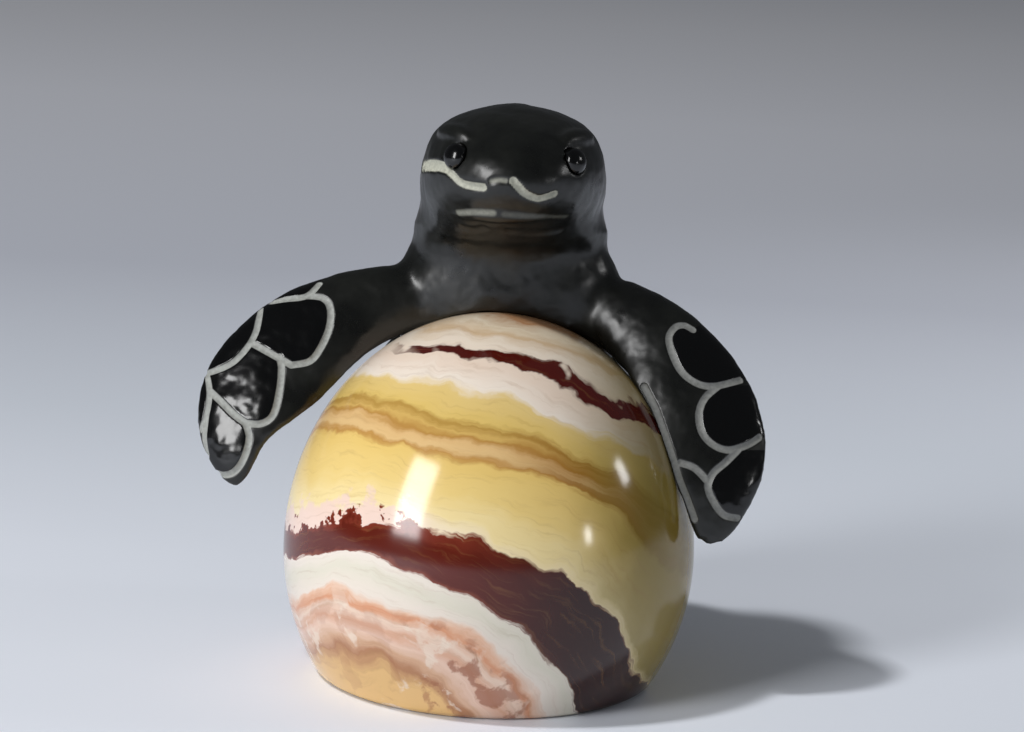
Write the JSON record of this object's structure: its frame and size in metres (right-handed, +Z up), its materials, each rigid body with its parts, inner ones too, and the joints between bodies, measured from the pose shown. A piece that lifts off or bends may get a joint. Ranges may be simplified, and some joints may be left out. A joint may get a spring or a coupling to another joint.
{
  "type": "stone turtle figurine",
  "caption": "Carved black stone sea turtle standing behind a banded stone egg and hugging it with etched flippers; desk ornament with a flat foot.",
  "frame": {"origin": "middle of the egg's flat foot, on the surface it stands on", "axes": "+Z up; the turtle faces -Y; +X is the turtle's left"},
  "size_m": [0.0761, 0.0626, 0.076],
  "materials": {
    "banded_stone": "polished banded stone in yellow, ochre, maroon, white and peach",
    "black_stone": "polished black stone with pale etched lines",
    "eye_stone": "high-polish black stone domes",
    "pin_steel": "plain steel rod"
  },
  "bodies": {
    "root": {"egg": "banded_stone", "head_and_shoulders": "black_stone", "left_flipper": "black_stone", "right_flipper": "black_stone", "left_eye": "eye_stone", "right_eye": "eye_stone", "carapace": "black_stone", "left_hind_flipper": "black_stone", "right_hind_flipper": "black_stone", "flipper_pins": "pin_steel", "egg_pins": "pin_steel"}
  },
  "joints": []
}
